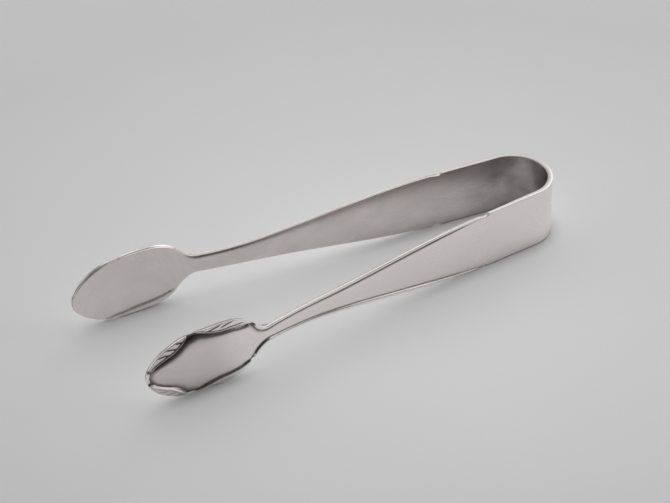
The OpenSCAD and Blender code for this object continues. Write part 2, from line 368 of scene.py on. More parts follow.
def strip_rows(s, columns, edge_inset):
    """Runs and heights of a stretch of the strip, for rows at lengths along its edge.

    A row crosses straight from the lower edge to the upper one, drawn in by the edge's inset.
    """
    across, insets = columns[:2]
    edge_run, edge_side, in_run, in_side = (values[:, None] for values in edge_at(s))
    inset = edge_inset * insets
    room = np.minimum(inset, np.maximum(edge_side, 0))
    return edge_run + inset * in_run, across * np.maximum(edge_side + room * in_side, 0)


print(f"each edge is rounded by {EDGE_COLUMNS} columns on a superellipse of power {EDGE_ROUND}")

# %% [markdown]
# The bow is the tongs' spring: a plain wide band. On the CAD frame it is cut at its two flex lines, because a
# rigid body needs a hinge there. The real strip bends smoothly, so each half of the bow is one surface here,
# from the crown to the arm's start, standing in place of the crown and the shoulder. Painted shade darkens
# the inside of the bow.

# %% Bow halves
BOW_INSET, BOW_ROWS, BOW_COLUMNS = 0.16, 110, (48, 40)
# Painted shade inside the bow, which also reaches the arms' inner faces near the bow.
SHOULDER_SHADE, BOW_INSIDE_SHADE, BOW_INSIDE_SHADE_FADE = 0.45, 0.2, 0.5
# Painted shade: a dark line along the lower edge, where the strip meets the floor.
FOOT_SHADE, FOOT_START = 0.7, 0.95


def bunched(start, end, count):
    """Values from start to end that bunch up at both, by a cosine, so that shading runs on across a seam."""
    return start + (end - start) * (1 - np.cos(np.linspace(0, np.pi, count))) / 2


def foot_shade_line(across):
    """Painted shade along the lower edge, which the tongs lie on: eased in over the last of the place across.
    """
    return FOOT_SHADE * ease((-across - FOOT_START) / (1 - FOOT_START))


def bow_half(name, mirrored):
    """Half of the bow: the strip's section carried round a circle from the crown to the arm's start."""
    across, insets, depths = section(*BOW_COLUMNS)
    angle = bunched(0, np.pi / 2 - ARM_SPREAD, BOW_ROWS)[:, None]
    side = across * (BOW_HALF - BOW_INSET * insets)
    points = on_bow(angle, side, -THICKNESS * depths)
    along = BOW_RADIUS * (angle - angle[-1])
    # Painted shade on the inner face, growing from the arm's start towards the crown.
    hollow = depths * (SHOULDER_SHADE + BOW_INSIDE_SHADE * ease((angle[-1] - angle) / BOW_INSIDE_SHADE_FADE))
    return closed_tube(name, points, along, np.maximum(hollow, foot_shade_line(across)), True, mirrored)


def side_names(kind):
    """The two sides' names for a kind of piece, with their bodies and whether each is the mirrored one."""
    return [(f"left_{kind}", "left_side", True), (f"right_{kind}", "right_side", False)]


for name, body, mirrored in side_names("bow_half"):
    half = bow_half(name, mirrored)
    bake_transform(half)
    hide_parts("bow_crown", name.replace("bow_half", "shoulder"))

# %% [markdown]
# A band of relief runs along the edge of the arms and bowls: a thread, a rear scroll, a front scroll and a
# small shell round the tip. How wide that band is decides three things at once, the relief itself, the cove
# beside it and where the bowl's panel starts to roll off, so it is one curve through a few stations.

# %% Width of the border
THREAD_START = CUSP_RUN + 0.2
THREAD_WIDTH = {"run": (THREAD_START, 19, 30, 43, 54, ARM_RUN, ARM_RUN + 3),
                "width": (0.2, 0.4, 0.72, 0.86, 0.92, 0.9, 1.1)}
REAR_WIDTH = {"b": (4.9, 6.3, 8.4, 10.6, 12.8, 14.8, 16.8, 18.2, 19.3),
              "width": (0.6, 1.5, 2.0, 2.05, 2.05, 1.7, 1.2, 0.75, 0.4)}
FRONT_WIDTH = {"b": (21.2, 22.2, 23.1, 24.3, 25.8, 27.3, 28.3, 29.3, 30.1),
               "width": (0.8, 1.25, 1.7, 2.1, 2.35, 2.2, 2.0, 1.7, 1.4)}
TIP_WIDTH = 0.95


def through(stations, values, at):
    """A smooth curve through stations: cubic pieces whose slopes are the stations' own differences."""
    stations, values = np.asarray(stations, float), np.asarray(values, float)
    slopes = np.gradient(values, stations)
    at = np.clip(at, stations[0], stations[-1])
    k = np.clip(np.searchsorted(stations, at) - 1, 0, len(stations) - 2)
    gap = stations[k + 1] - stations[k]
    q = (at - stations[k]) / gap
    start = values[k] * (1 + 2 * q) * (1 - q) ** 2 + slopes[k] * gap * q * (1 - q) ** 2
    return start + values[k + 1] * q * q * (3 - 2 * q) + slopes[k + 1] * gap * q * q * (q - 1)


BAND_S = np.concatenate([
    length_at(np.array(THREAD_WIDTH["run"])),
    bowl_length_at(REAR_WIDTH["b"]),
    bowl_length_at(FRONT_WIDTH["b"]),
    [TIP_S],
])
BAND_WIDTH = np.concatenate([THREAD_WIDTH["width"], REAR_WIDTH["width"], FRONT_WIDTH["width"], [TIP_WIDTH]])


def band_width(s):
    """Width of the relief at a length along the edge, the same on both sides of the tip."""
    return through(BAND_S, BAND_WIDTH, fold_back(s))


print("border of", len(BAND_S), "stations, widest", round(float(band_width(EDGE_S).max()), 2), "mm")

# %% [markdown]
# Beside the relief the plain face dips into a cove, where the punch that raised the border pressed the silver
# down. On the arms it is a shallow line. On the bowls it is deep enough to turn dark, and it makes the panel
# look like a pillow. The dip fades with the distance from the border's inner line, and so do the tarnish and
# the painted shade laid into it. Sculpting could give the same dip, but not one that follows the border when
# its width changes.

# %% Coves beside the border
ARM_COVE = {"run": (CUSP_RUN, 19, 44, ARM_RUN, ARM_RUN + 4.6), "depth": (0.04, 0.18, 0.28, 0.28, 0.32)}
BOWL_COVE = {"b": (5.4, 9, 14, 19, 21, 24, 28, 30.5), "depth": (0.38, 0.42, 0.48, 0.65, 0.7, 0.7, 0.62, 0.52)}
TIP_COVE = 0.6
COVE_S = np.concatenate([length_at(np.array(ARM_COVE["run"])), bowl_length_at(BOWL_COVE["b"]), [TIP_S]])
COVE_DEPTH = np.concatenate([ARM_COVE["depth"], BOWL_COVE["depth"], [TIP_COVE]])
# The dip's fade, and the depth and width of the tarnish and painted shade laid in the cove.
COVE_LOOK = {
    "run": (CUSP_RUN, 44, ARM_RUN),
    "b": (3.6, EAR_NICK_RUN, 6, 12, 18, 21, 24, 28, 30.5),
    "fade": (0.25, 0.36, 0.38, 0.4, 0.42, 0.42, 0.5, 0.85, 1.1, 1.05, 0.9, 0.8),
    "deep": (0.3, 0.45, 0.55, 0.8, 0.95, 0.45, 0.5, 0.8, 0.95, 0.85, 0.8, 0.85),
    "wide": (0.15, 0.25, 0.28, 0.36, 0.45, 0.35, 0.45, 0.9, 1.2, 1.0, 0.85, 0.8),
}
COVE_LOOK_S = np.append(length_at(np.array(COVE_LOOK["run"])), bowl_length_at(COVE_LOOK["b"]))
COVE_TARNISH_SHADE_POWER = 1.3
NEAR_STEP, NEAR_CHUNK, NEAR_WINDOW = 5, 4000, 9


def inside_border(run, side):
    """Nearest length along the edge, and the distance from the border's inner line.

    The distance is the least distance to the edge, less the border's width there, so it is less than
    nought on the border. Places are taken a chunk at a time, to spare memory.
    """
    place = np.stack(np.broadcast_arrays(run, np.abs(side)), axis=-1).reshape(-1, 2)
    keep = slice(0, TIP_INDEX + 1, NEAR_STEP)
    edge = np.stack([EDGE_RUN[keep], EDGE_SIDE[keep]], axis=-1)
    nearest, distance = np.empty(len(place), int), np.empty(len(place))
    for first in range(0, len(place), NEAR_CHUNK):
        part = slice(first, first + NEAR_CHUNK)
        spot = place[part, None]
        reach = (spot[..., 0].min() - NEAR_WINDOW, spot[..., 0].max() + NEAR_WINDOW)
        low, high = np.searchsorted(edge[:, 0], reach)
        stretch = edge[None, low:high]
        gap = np.hypot(spot[..., 0] - stretch[..., 0], spot[..., 1] - stretch[..., 1])
        nearest[part] = low + gap.argmin(axis=1)
        distance[part] = gap.min(axis=1)
    s = EDGE_S[keep][nearest]
    shape = np.broadcast(run, side).shape
    return s.reshape(shape), (distance - band_width(s)).reshape(shape)


def cove(s, beyond):
    """Rise of the plain face, nought or less: minus the depth times e to minus the distance over the fade."""
    fade = through(COVE_LOOK_S, COVE_LOOK["fade"], s)
    dip = through(COVE_S, COVE_DEPTH, s) * np.exp(-np.maximum(beyond, 0) / fade)
    return np.where(s < length_at(CUSP_RUN), 0, -dip)


def cove_tarnish_and_shade(s, beyond):
    """Tarnish and painted shade in a cove: its depth of colour, times e to minus a power of the distance over
    its width.
    """
    deep, wide = (through(COVE_LOOK_S, COVE_LOOK[look], s) for look in ("deep", "wide"))
    reach = np.maximum(beyond, 0) / wide
    return np.where(s < length_at(CUSP_RUN), 0, deep * np.exp(-reach ** COVE_TARNISH_SHADE_POWER))


print(f"coves from {COVE_DEPTH.min():.2f} to {COVE_DEPTH.max():.2f} mm deep")

# %% [markdown]
# A punch that raises one face of a thin strip moves the other face too. On the bowls' inner face that leaves
# a proud rim along the lower edge, with a soft step beside it. It could be a strip of its own, but as one
# more rise of the face it leaves the bowl a single closed surface.

# %% Rim of the inner face
RIM_PROUD, RIM_RAMP = 0.26, 0.9
RIM = {"b": (4.0, 6.5, 11, 15, 19, 22, 25),
       "width": (0.4, 1.4, 1.75, 1.6, 1.2, 0.8, 0.3),
       "share": (0, 1, 1, 1, 1, 0.9, 0)}
RIM_S = bowl_length_at(RIM["b"])


def struck_back(s, beyond, side):
    """Rise of the inner face at the lower rim, less than nought because it goes inwards.

    It is an eased step of the distance from the edge, which ends at the rim's own width.
    """
    width, share = through(RIM_S, RIM["width"], s), np.interp(s, RIM_S, RIM["share"])
    return -RIM_PROUD * ease((width - beyond - band_width(s)) / RIM_RAMP) * share * (side < 0)


print(f"rim up to {max(RIM['width'])} mm wide and {RIM_PROUD} mm proud")

# %% [markdown]
# Arms and bowls are made alike: the strip's section is walked along the edge, the outer face takes its coves
# and the inner face its roll towards the edges and its rim. The colour's darkening goes with the same grid.
# Tarnish and painted shade lie in the coves, painted shade darkens the bowl's panel towards the tip, and
# inside, painted shade thins out from the bow to the bowl.

# %% A stretch of the strip
SMOOTH_PASSES = 14
ARM_ROLL, ROLL_RUN = 0.3, 14.0
# Painted shade on the inner faces, from the bow to the bowl, and on the bowl's outer panel towards the tip.
INNER_FACE_SHADE, SHOULDER_RUN = 0.28, 14.0
BOWL_INSIDE_SHADE, BOWL_INSIDE_SHADE_B = (0.3, 0.09), (-6.0, 27.0)
PANEL_SHADE, PANEL_SHADE_B = 0.2, (6.0, 19.0)
FOOT_FADE = 2.0


def smooth_rows(values):
    """Averages each row with its two neighbours, one part to two to one, several times over."""
    for _ in range(SMOOTH_PASSES):
        values[1:-1] = (values[:-2] + 2 * values[1:-1] + values[2:]) / 4
    return values


def inner_roll(across, run):
    """How far the inner face rolls off towards its edges: the fourth power of the place across.

    It is eased in from the bow and faded out in the bowl.
    """
    return ARM_ROLL * ease(run / ROLL_RUN) * across ** 4 * ease((ARM_RUN + ROLL_RUN - run) / ROLL_RUN)


def strip_tarnish_and_shade(run, across, depths, coves):
    """Tarnish and painted shade of a stretch: the coves' or the panel's outside, and eased painted shade
    inside.
    """
    b = run - ARM_RUN
    face = np.maximum(coves, PANEL_SHADE * ease((b - PANEL_SHADE_B[0]) / (PANEL_SHADE_B[1] - PANEL_SHADE_B[0])))
    inside = np.interp(b, BOWL_INSIDE_SHADE_B, BOWL_INSIDE_SHADE)
    inside = inside + (INNER_FACE_SHADE - inside) * ease((BOWL_INSIDE_SHADE_B[0] - b) / ROLL_RUN)
    inside = inside + (SHOULDER_SHADE - INNER_FACE_SHADE) * ease(1 - run / SHOULDER_RUN)
    hollow = face * (1 - depths) + inside * depths
    return np.maximum(hollow, foot_shade_line(across) * ease((CUSP_RUN - run) / FOOT_FADE))


def strip_piece(name, s, columns, inset, capped, mirrored):
    """A stretch of the strip between two lengths along its edge, with its coves, tarnish and painted shade.

    The rise goes from the cove's dip outside to the inner face's by the section's share of the thickness.
    """
    run, side = strip_rows(s, columns, inset)
    across, _, depths = columns
    nearest, beyond = inside_border(run, side)
    dip = smooth_rows(cove(nearest, beyond))
    inner = struck_back(nearest, beyond, side) + inner_roll(across, run) - THICKNESS
    rise = dip * (1 - depths) + inner * depths
    hollow = strip_tarnish_and_shade(run, across, depths, smooth_rows(cove_tarnish_and_shade(nearest, beyond)))
    return closed_tube(name, on_strip(run, side, rise), s, hollow, capped, mirrored)


def add_stretch(kind, ends, rows, columns, inset, capped):
    """Makes a stretch on both sides, lets each ride on its side and has it stand for its CAD node."""
    for name, body, mirrored in side_names(kind):
        piece = strip_piece(name, bunched(*ends, rows), section(*columns), inset, capped, mirrored)
        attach(piece, body)
        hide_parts(name)


print(f"the edge is {length_at(ARM_RUN):.2f} mm long to the neck and {TIP_S:.2f} mm to the tip")

# %% [markdown]
# The arms are what the fingers squeeze. They go from the bow along the taper to the neck, and each keeps a
# soft crown between its two coves.

# %% Arms
ARM_INSET, ARM_ROWS, ARM_COLUMNS = 0.16, 330, (80, 40)
add_stretch("arm", (0, length_at(ARM_RUN)), ARM_ROWS, ARM_COLUMNS, ARM_INSET, True)

# %% [markdown]
# The bowls hold the sugar. The outer face is a pillow inside its scrolled border, and the inner face is a
# plain shallow hollow with the rim along its lower edge. The outer face has more columns than the arm's,
# because its coves are steeper.

# %% Bowls
BOWL_INSET, BOWL_ROWS, BOWL_COLUMNS = 0.14, 330, (140, 60)
add_stretch("bowl", (length_at(ARM_RUN), TIP_S), BOWL_ROWS, BOWL_COLUMNS, BOWL_INSET, False)

# %% [markdown]
# The relief is a profile carried along the edge. Its outer wall stands flush with the strip's edge, its top
# is shaped by each kind of border, and its inner wall drops into the cove. The ends are rounded off and drawn
# to a point. A bevelled curve could be a bead as well, but not a top that changes along its way.

# %% A border carried along the edge
PROUD = 0.015
WALL_COLUMNS, TOP_COLUMNS, FOOT_COLUMNS = 4, 44, 3
OUTER_FOOT, INNER_FOOT = 0.12, 0.05
TINY = 1e-6


def rounded(share):
    """A quarter circle's height: the square root of one less the square of what is left of the share."""
    return np.sqrt(np.clip(1 - (1 - np.clip(share, 0, 1)) ** 2, 0, 1))


def brim_rise(distance, reach):
    """A quarter sine from 0 at the edge to 1 at the brim's reach."""
    return np.sin(np.pi / 2 * np.clip(distance / reach, 0, 1))


def share_across(distance, width, where_none):
    """The distance over the border's width, or the given value where the border has no width."""
    return np.divide(distance, width, out=np.full(distance.shape, where_none), where=width > TINY)


def border_piece(name, s, end_round, top, lower, mirrored):
    """A border between two lengths along the edge.

    Columns climb the outer wall, cross the top from the edge inwards and go down the inner wall. The top's
    own function gives rise and painted shade from the length, the distance from the edge and the border's
    width.
    """
    s = s[:, None]
    ends = rounded((s - s[0]) / end_round[0]) * rounded((s[-1] - s) / end_round[1])
    width = band_width(s) * ends
    floor = -through(COVE_S, COVE_DEPTH, fold_back(s))
    u = np.linspace(0, 1, TOP_COLUMNS)
    rise, hollow = top(s, u * width, width, floor)
    # Painted shade darkens the rounded ends too, and all of it is scaled by the cove's tarnish and painted
    # shade there.
    hollow = np.maximum(hollow, 1 - ends) * cove_tarnish_and_shade(fold_back(s), 0.0)
    rise = floor + (rise - floor) * ends
    climb, fall = np.linspace(0, 1, WALL_COLUMNS + 1)[:-1], np.linspace(0, 1, FOOT_COLUMNS + 1)[1:]
    outer_foot = floor - OUTER_FOOT * ends
    outer = outer_foot + (rise[:, :1] - outer_foot) * climb
    inner = rise[:, -1:] - INNER_FOOT * ends * fall
    distance = np.concatenate([-PROUD * ends + 0 * climb, u * width, width + 0 * fall], axis=1)
    rises = np.concatenate([outer, rise, inner], axis=1)
    shade = np.concatenate([0 * (climb + hollow[:, :1]), hollow, hollow[:, -1:] + 0 * fall], axis=1)
    edge_run, edge_side, in_run, in_side = edge_at(s)
    run, side = edge_run + distance * in_run, edge_side + distance * in_side
    return closed_tube(name, on_strip(run, -side if lower else side, rises), s, shade, False, mirrored)


def border_names(kind):
    """The four names of a kind of border, with the body, whether it is lower and whether it is mirrored."""
    return [(f"{side}_{level}_{kind}", f"{side}_side", level == "lower", side == "left")
            for side in ("left", "right") for level in ("upper", "lower")]


def add_border(name, body, s, end_round, top, lower, mirrored):
    """Makes a border, lets it ride on its side and has it stand for its CAD node."""
    piece = border_piece(name, s, end_round, top, lower, mirrored)
    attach(piece, body)
    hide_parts(name)


print("columns round a border:", WALL_COLUMNS + TOP_COLUMNS + FOOT_COLUMNS)

# %% [markdown]
# The thread is the plainest border, a rounded bead along each edge of the arm. It starts thin at the cusp,
# thickens towards the neck and ends in a rounded swelling at the ear of the bowl. A bevelled curve would do
# for it alone, but the border's function also gives it the cove's floor to stand on.

# %% Threads
THREAD_ROWS = 420
THREAD_RISE = {"run": (THREAD_START, 20, 40, ARM_RUN, ARM_RUN + 4), "rise": (0.03, 0.05, 0.08, 0.1, 0.16)}
THREAD_RISE_S = length_at(np.array(THREAD_RISE["run"]))
THREAD_BRIM, THREAD_FLAT = 0.3, 0.55
THREAD_END = EAR_NICK_RUN - 0.25
THREAD_ENDS = (0.6, 1.0)


def thread_top(s, distance, width, floor):
    """A low top: a brim of a quarter sine, a flat for part of the width, then an eased fall to the cove's
    floor with painted shade on it.
    """
    body = through(THREAD_RISE_S, THREAD_RISE["rise"], s) * brim_rise(distance, THREAD_BRIM)
    fall = ease((share_across(distance, width, 1.0) - THREAD_FLAT) / (1 - THREAD_FLAT))
    return body + (floor - body) * fall, fall ** 2


for name, body, lower, mirrored in border_names("thread"):
    rows = np.linspace(length_at(THREAD_START), bowl_length_at(THREAD_END), THREAD_ROWS)
    add_border(name, body, rows, THREAD_ENDS, thread_top, lower, mirrored)

# %% [markdown]
# The scrolls give the bowl its leafy border. From the edge inwards each has a narrow brim, a flat cut by a
# few slanting flutes and a ridge, and then it falls into the cove. The rear scroll is a long soft S with a
# low ridge and two long flutes. The front scroll is shorter, with a bright ridge, a line of painted shade
# beside it where no groove is cut, three flutes and a flat darkened by painted shade. They could be sculpted
# by hand, but then every copy would be a little different. One function makes them all from their levels at
# a few stations.

# %% Shapes of the scrolls
SCROLL_ROWS = 300
BRIM, EDGE_DROP = 0.1, 0.04
RIDGE_SIZE = 0.2
SHADE_LINE_GAP, SHADE_LINE_SIZE = 0.42, 0.16
BRIM_MOST, RIDGE_MOST, CREST_LEAST = 0.6, 0.3, 0.45
# After the flutes' depth, each shape gives three strengths of painted shade: in the flutes, on a line beside
# the ridge and over the flat away from the ridge.
REAR_SHAPE = {
    "b": (4.95, 6.5, 10, 14, 17, 19.3),
    "flat": (0.02, 0.06, 0.02, -0.02, -0.12, -0.45),
    "ridge": (0.0, 0.05, 0.08, 0.08, 0.06, 0.0),
    "back": (0.5, 0.95, 0.65, 0.42, 0.42, 0.45),
    "flutes": (((13.8, 0.45), (9.7, 0.0)), ((16.5, 0.42), (12.8, 0.0))),
    "flute": 0.07, "painted_shade": 0.8, "groove": 0.0, "dimmed": 0.0,
    "end_round": (0.7, 1.0),
}
FRONT_SHAPE = {
    "b": (21.2, 22.5, 24.5, 27, 29.3, 30.1),
    "flat": (-0.4, -0.18, -0.14, -0.14, -0.14, -0.14),
    "ridge": (0.0, 0.15, 0.17, 0.17, 0.17, 0.15),
    "back": (0.45, 0.55, 0.6, 0.6, 0.55, 0.55),
    "flutes": (((22.4, 0.48), (24.4, 0.0)), ((24.3, 0.6), (26.6, 0.0)), ((26.2, 0.62), (28.8, 0.0))),
    "flute": 0.1, "painted_shade": 0.75, "groove": 0.5, "dimmed": 0.22,
    "end_round": (0.8, 0.7),
}
print("flutes:", len(REAR_SHAPE["flutes"]), "on a rear scroll,", len(FRONT_SHAPE["flutes"]), "on a front one")

# %% [markdown]
# A flute is a shallow cut along a slanting line, from the flat out to the edge. The cut fades towards the
# edge, so that the outline stays whole, but the painted shade along it runs on to the edge. A Boolean could
# cut flutes too, but a bell in the height leaves the mesh an even grid.

# %% Flutes
FLUTE_SIZE = 0.21
FLUTE_LEAD, FLUTE_RISE, FLUTE_FADE = 0.1, 0.5, 0.3
# The cut ends near the edge, and the flutes' painted shade runs on past it.
CUT_END, SHADE_END = 1.05, 1.3
FLAT_END, FLAT_FADE = 0.92, 0.1


def flute_cut(s, distance, width, flutes):
    """Cut and painted shade of the flutes: for each, a bell of the distance from its line, faded at its ends.

    A line goes from one station to another. Each station is a run from the neck and a share of the width.
    """
    cut, painted_shade = np.zeros(distance.shape), np.zeros(distance.shape)
    for (start_b, start_share), (end_b, end_share) in flutes:
        start_s, end_s = bowl_length_at(start_b), bowl_length_at(end_b)
        q = (s - start_s) / (end_s - start_s)
        line = (start_share + (end_share - start_share) * q) * width
        slope = np.abs(np.gradient(line[:, 0], s[:, 0]))[:, None]
        gap = np.abs(distance - line) / np.sqrt(1 + slope ** 2)
        stroke = ease((q + FLUTE_LEAD) / FLUTE_RISE) * hump(gap, FLUTE_SIZE)
        cut = np.maximum(cut, stroke * ease((CUT_END - q) / FLUTE_FADE))
        painted_shade = np.maximum(painted_shade, stroke * ease((SHADE_END - q) / FLUTE_FADE))
    inside = ease((FLAT_END - share_across(distance, width, 0.0)) / FLAT_FADE)
    return cut * inside, painted_shade * inside


print(f"a flute's bell is {hump(FLUTE_SIZE, FLUTE_SIZE):.2f} high at {FLUTE_SIZE} mm from its line")

# %% [markdown]
# The scrolls' tops are put together from those parts. The ridge is a bell at the crest, and beyond the crest
# the top eases down to the cove's floor. Painted shade lies in the flutes, on a line beside the ridge, over
# the flat off the ridge and on the foot of that fall.

# %% Scrolls
SHELL_HALF, NUB_GAP = 1.75, 0.3


def scroll_top(shape):
    """The top of a scroll, from its levels at a few stations and from its flutes."""
    stations = bowl_length_at(shape["b"])

    def top(s, distance, width, floor):
        """A brim of a quarter sine, a flat, a bell-shaped ridge and an eased fall to the cove's floor, with
        painted shade.
        """
        flat, height, back = (through(stations, shape[level], s) for level in ("flat", "ridge", "back"))
        crest = np.maximum(width - back, CREST_LEAST * width)
        brim = brim_rise(distance, np.minimum(BRIM, BRIM_MOST * width + TINY))
        ridge = hump(distance - crest, np.minimum(RIDGE_SIZE, RIDGE_MOST * width + TINY))
        cut, flute_shade = flute_cut(s, distance, width, shape["flutes"])
        groove = hump(distance - crest + SHADE_LINE_GAP, SHADE_LINE_SIZE)
        body = flat - EDGE_DROP * (1 - brim) + height * ridge - shape["flute"] * cut * brim
        fall = ease((distance - crest) / np.maximum(width - crest, TINY))
        # Painted shade: in the flutes, on a line beside the ridge where nothing is cut, over the flat away
        # from the ridge, and on the fall.
        painted_shade = np.maximum(shape["painted_shade"] * flute_shade, shape["groove"] * groove)
        painted_shade = np.maximum(painted_shade, shape["dimmed"] * (1 - ridge))
        return body + (floor - body) * fall, np.maximum(painted_shade, fall ** 2)

    return top


rear_ends = bowl_length_at([REAR_SHAPE["b"][0], REAR_SHAPE["b"][-1]])
front_ends = (bowl_length_at(FRONT_SHAPE["b"][0]), TIP_S - SHELL_HALF - NUB_GAP)
for kind, shape, ends in (("rear_scroll", REAR_SHAPE, rear_ends), ("front_scroll", FRONT_SHAPE, front_ends)):
    rows = np.linspace(*ends, SCROLL_ROWS)
    for name, body, lower, mirrored in border_names(kind):
        add_border(name, body, rows, shape["end_round"], scroll_top(shape), lower, mirrored)

# %% [markdown]
# A small plain shell closes the border round the tip. It is a low rounded strip that ends just short of the
# scrolls, made as they are but from one side of the tip to the other.

# %% Tip shells
SHELL_FLAT, SHELL_FALL, SHELL_ROWS = -0.22, 0.55, 180
SHELL_ENDS = (0.9, 0.9)


def shell_top(s, distance, width, floor):
    """A quarter-sine brim and a flat that eases down to the cove, with painted shade on the fall."""
    body = SHELL_FLAT - EDGE_DROP * (1 - brim_rise(distance, BRIM))
    fall = ease((share_across(distance, width, 0.0) - SHELL_FALL) / (1 - SHELL_FALL))
    return body + (floor - body) * fall, fall ** 2


for name, body, mirrored in side_names("tip_shell"):
    rows = np.linspace(TIP_S - SHELL_HALF, TIP_S + SHELL_HALF, SHELL_ROWS)
    add_border(name, body, rows, SHELL_ENDS, shell_top, False, mirrored)

# %% [markdown]
# Materials in Blender are trees of nodes. A few short functions make the nodes that both finishes and the
# floor need, so that the finishes themselves read like a recipe.

# %% Helpers for nodes
COLOUR_A, COLOUR_B, COLOUR_OUT = 6, 7, 2
NOISE_MIDDLE = (0.3, 0.7)


def link(tree, source, target):
    """Joins two sockets."""
    tree.links.new(source, target)


def noise_node(tree, vector, scale, detail):
    """A noise texture on the given coordinates."""
    node = tree.nodes.new("ShaderNodeTexNoise")
    node.inputs["Scale"].default_value = scale
    node.inputs["Detail"].default_value = detail
    link(tree, vector, node.inputs["Vector"])
    return node.outputs["Fac"]


def range_node(tree, value, low, high, start=NOISE_MIDDLE[0], end=NOISE_MIDDLE[1]):
    """Turns a stretch of a value, the middle of a noise unless told otherwise, into low to high."""
    node = tree.nodes.new("ShaderNodeMapRange")
    node.inputs["From Min"].default_value = start
    node.inputs["From Max"].default_value = end
    node.inputs["To Min"].default_value = low
    node.inputs["To Max"].default_value = high
    link(tree, value, node.inputs["Value"])
    return node.outputs["Result"]


def mix_colour(tree, share, first, second):
    """Mixes two colours by a share. A colour is a socket or three numbers."""
    node = tree.nodes.new("ShaderNodeMix")
    node.data_type = "RGBA"
    link(tree, share, node.inputs["Factor"])
    for colour, target in ((first, node.inputs[COLOUR_A]), (second, node.inputs[COLOUR_B])):
        if isinstance(colour, tuple):
            target.default_value = (*colour, 1)
        else:
            link(tree, colour, target)
    return node.outputs[COLOUR_OUT]


def maths_node(tree, operation, first, second):
    """Adds or multiplies the values of two sockets."""
    node = tree.nodes.new("ShaderNodeMath")
    node.operation = operation
    link(tree, first, node.inputs[0])
    link(tree, second, node.inputs[1])
    return node.outputs[0]


def stretched(tree, strip_map, scale):
    """The strip's UV map, stretched along and across."""
    node = tree.nodes.new("ShaderNodeMapping")
    node.inputs["Scale"].default_value = scale
    link(tree, strip_map.outputs["UV"], node.inputs["Vector"])
    return node.outputs["Vector"]


print("noise is used between", *NOISE_MIDDLE)

# %% [markdown]
# The silver has two finishes. The plain faces are satin: soft reflections, very fine brushing along the strip
# and a few faint smudges. The relief is brighter, because cloths polish what stands proud. Both are darkened
# by the mesh's value of tarnish and painted shade and both read the UV map, so the finish follows the piece
# wherever it is used.

# %% Silver finishes
BRUSH_STRETCH, BRUSH_DETAIL, STREAK = (9, 500, 1), 3, 0.02
PATINA_STRETCH, PATINA_DETAIL, PATINA_RANGE = (16, 24, 1), 4, (0.8, 1.2)
SMUDGE_SCALE, HAZE_SCALE, SOFT_DETAIL = 45, 110, 2
BUMP_STRENGTH = 0.5
# The tarnish colour, also used for painted shade.
TARNISH_SHADE_COLOUR = (0.1, 0.09, 0.083)


def silver(name, clean, dimmed, roughness, brush_height):
    """A silver finish: clean and dimmed by smudges, darkened by tarnish and painted shade, brushed by the UV
    map.
    """
    material = bpy.data.materials.new(name)
    material.use_nodes = True
    tree = material.node_tree
    shader = tree.nodes["Principled BSDF"]
    shader.inputs["Metallic"].default_value = 1.0
    place = tree.nodes.new("ShaderNodeTexCoord").outputs["Object"]
    hollow = tree.nodes.new("ShaderNodeAttribute")
    hollow.attribute_name = "hollow"
    strip_map = tree.nodes.new("ShaderNodeUVMap")
    strip_map.uv_map = "strip"

    smudges = range_node(tree, noise_node(tree, place, SMUDGE_SCALE, SOFT_DETAIL), 0.0, 1.0)
    faces = mix_colour(tree, smudges, clean, dimmed)
    patina = noise_node(tree, stretched(tree, strip_map, PATINA_STRETCH), 1.0, PATINA_DETAIL)
    # Tarnish and painted shade darken the colour by the mesh's value, mottled by the patina noise.
    darkening_share = maths_node(tree, "MULTIPLY", hollow.outputs["Fac"], range_node(tree, patina, *PATINA_RANGE))
    link(tree, mix_colour(tree, darkening_share, faces, TARNISH_SHADE_COLOUR), shader.inputs["Base Color"])

    brushing = noise_node(tree, stretched(tree, strip_map, BRUSH_STRETCH), 1.0, BRUSH_DETAIL)
    haze = range_node(tree, noise_node(tree, place, HAZE_SCALE, SOFT_DETAIL), *roughness)
    streaks = range_node(tree, brushing, -STREAK, STREAK)
    link(tree, maths_node(tree, "ADD", haze, streaks), shader.inputs["Roughness"])
    bump = tree.nodes.new("ShaderNodeBump")
    bump.inputs["Strength"].default_value = BUMP_STRENGTH
    bump.inputs["Distance"].default_value = brush_height * MM
    link(tree, brushing, bump.inputs["Height"])
    link(tree, bump.outputs["Normal"], shader.inputs["Normal"])
    return material


SATIN = silver("satin_silver", (0.98, 0.92, 0.91), (0.94, 0.88, 0.87),
               roughness=(0.26, 0.32), brush_height=0.002)
RELIEF = silver("relief_silver", (0.98, 0.93, 0.92), (0.94, 0.89, 0.88),
                roughness=(0.2, 0.26), brush_height=0.001)

for name, piece in PIECES.items():
    plain = name.endswith(("bow_half", "arm", "bowl"))
    piece.data.materials.append(SATIN if plain else RELIEF)
print("finished", len(PIECES), "pieces in", SATIN.name, "and", RELIEF.name)

# %% [markdown]
# The tongs lie on pale paper. Silver shows what stands round it, and the near faces mirror the paper just in
# front of them, so the paper carries a faint glow of its own. The glow is a pool round the tongs, and it is
# shaded where the silver is close, as a contact shadow is.

# %% Floor
FLOOR_SIZE = 3.0
PAPER_TONES, PAPER_SCALE, PAPER_DETAIL = ((0.72, 0.72, 0.72), (0.735, 0.735, 0.735)), 30, 4
PAPER_ROUGHNESS, PAPER_GLOSS = 0.9, 0.1
GLOW, GLOW_REACH, GLOW_SHADE = (0.263, 0.145), (0.025, 0.13), 0.0035
GLOW_PLACE = (0.01, -0.018, 0.0)


